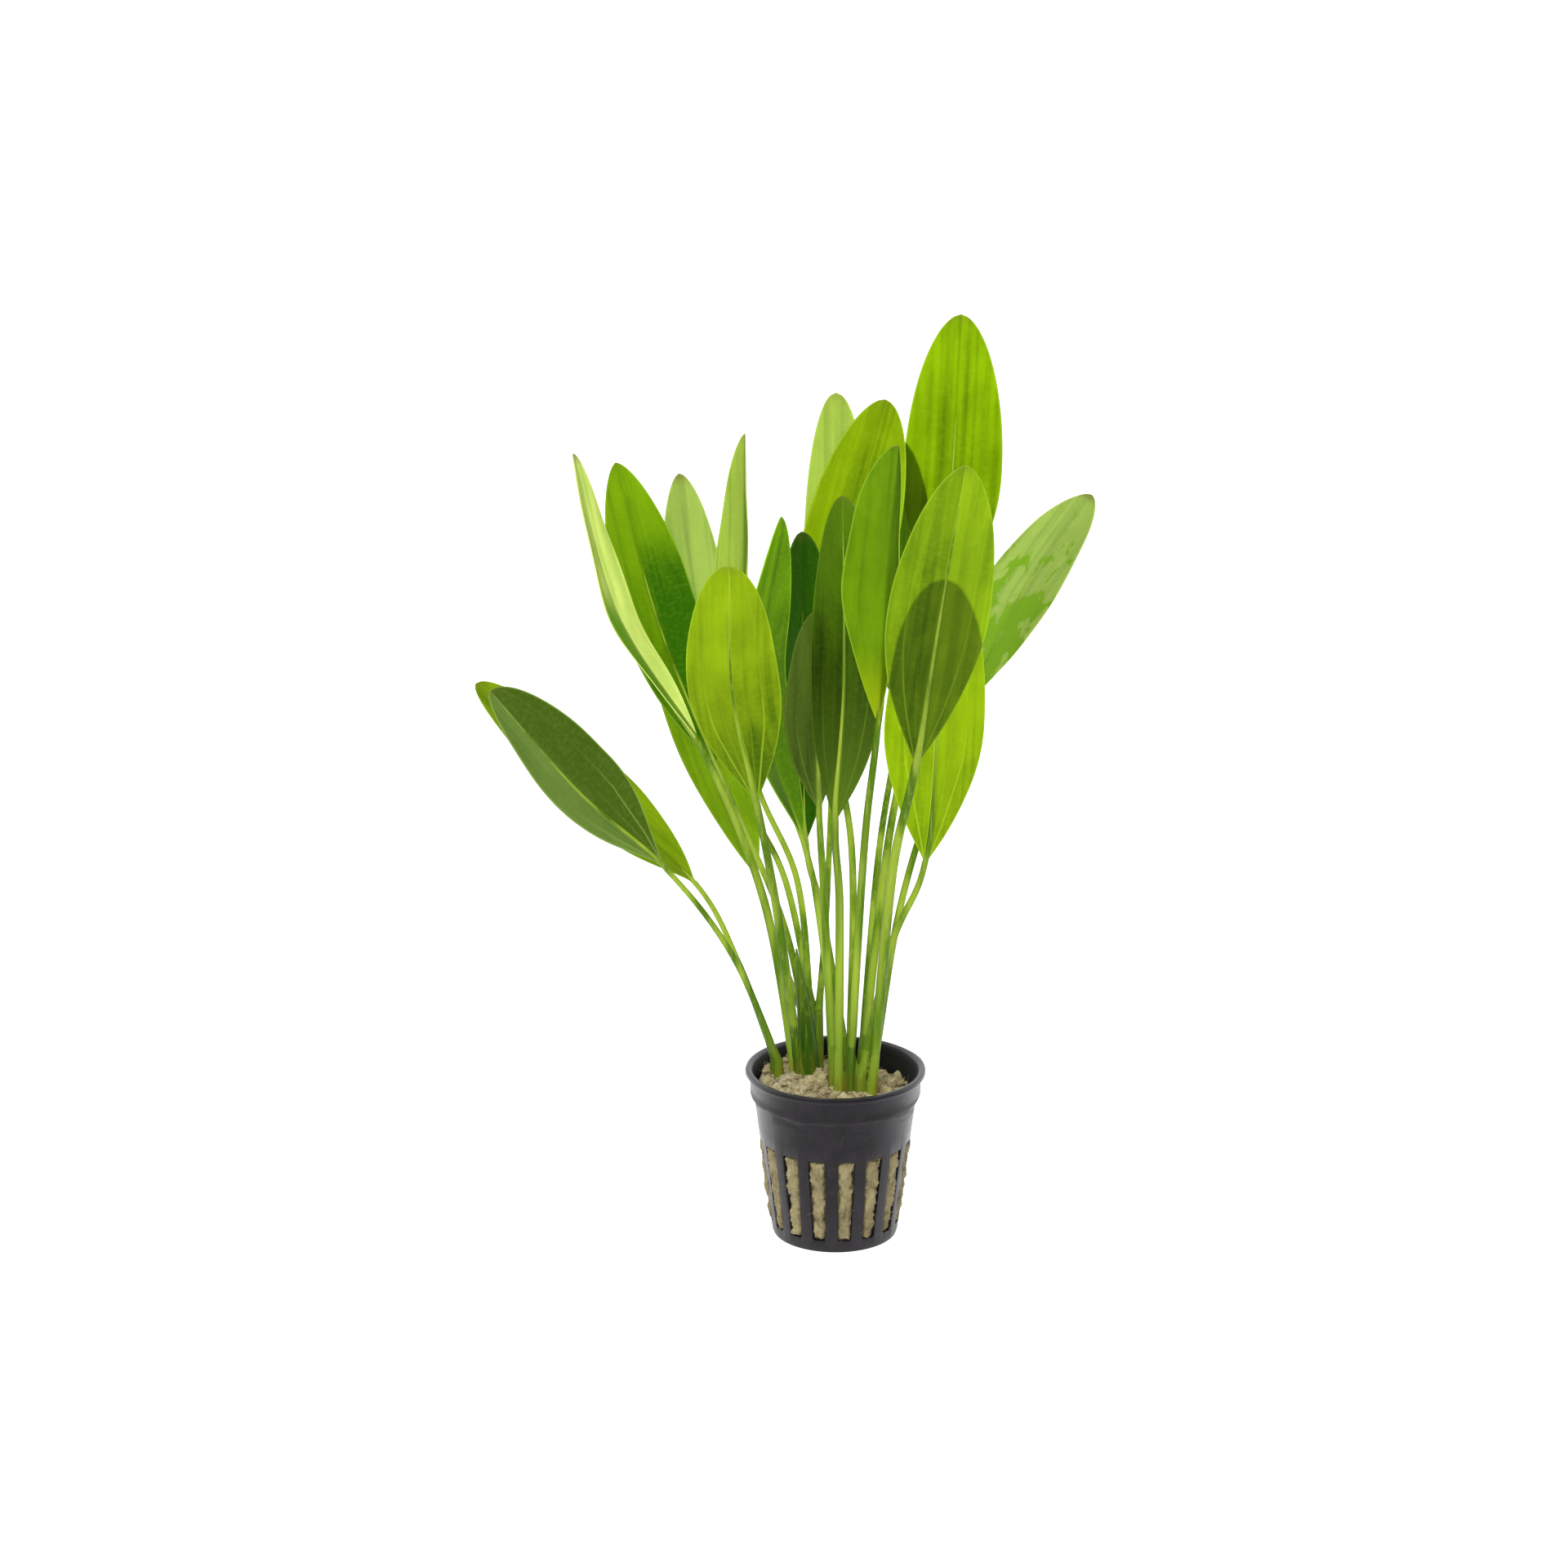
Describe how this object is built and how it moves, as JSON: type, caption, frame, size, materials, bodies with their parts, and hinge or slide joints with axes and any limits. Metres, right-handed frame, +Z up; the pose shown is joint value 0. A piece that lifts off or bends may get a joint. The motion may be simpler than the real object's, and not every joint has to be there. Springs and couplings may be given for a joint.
{
  "type": "potted echinodorus",
  "caption": "Sword-leaved aquarium plant, with long-stalked elliptical leaves spreading from rock wool in a small dark slotted net pot.",
  "frame": {"origin": "centre of the pot's flat underside, which stands on the floor", "axes": "+Z up along the pot's axis, -Y towards the viewer of the picture, +X to the picture's right"},
  "size_m": [0.1779, 0.1366, 0.2652],
  "materials": {
    "pot": "satin",
    "rock_wool": "matte",
    "crown": "satin",
    "stalk": "satin",
    "leaf_fresh": "satin",
    "leaf_deep": "satin",
    "leaf_pale": "satin"
  },
  "bodies": {
    "root": {"pot": "pot", "rock_wool": "rock_wool", "crown_far_left": "crown", "crown_left": "crown", "crown_front": "crown", "stalk_far_left_back": "stalk", "leaf_far_left_back": "leaf_fresh", "stalk_far_left_front": "stalk", "leaf_far_left_front": "leaf_deep", "stalk_left_folded": "stalk", "leaf_left_folded": "leaf_pale", "stalk_left_low": "stalk", "leaf_left_low": "leaf_fresh", "stalk_front_left": "stalk", "leaf_front_left": "leaf_fresh", "stalk_left_tall": "stalk", "leaf_left_tall": "leaf_fresh", "stalk_back_left": "stalk", "leaf_back_left": "leaf_pale", "stalk_back_narrow": "stalk", "leaf_back_narrow": "leaf_pale", "stalk_middle_left": "stalk", "leaf_middle_left": "leaf_fresh", "stalk_middle_dark": "stalk", "leaf_middle_dark": "leaf_deep", "stalk_middle_low": "stalk", "leaf_middle_low": "leaf_deep", "stalk_middle_front": "stalk", "leaf_middle_front": "leaf_deep", "stalk_middle_right": "stalk", "leaf_middle_right": "leaf_fresh", "stalk_back_middle": "stalk", "leaf_back_middle": "leaf_fresh", "stalk_back_pale": "stalk", "leaf_back_pale": "leaf_pale", "stalk_back_right": "stalk", "leaf_back_right": "leaf_deep", "stalk_tallest": "stalk", "leaf_tallest": "leaf_fresh", "stalk_front_right": "stalk", "leaf_front_right": "leaf_fresh", "stalk_right_low": "stalk", "leaf_right_low": "leaf_fresh", "stalk_far_right": "stalk", "leaf_far_right": "leaf_pale"}
  },
  "joints": []
}
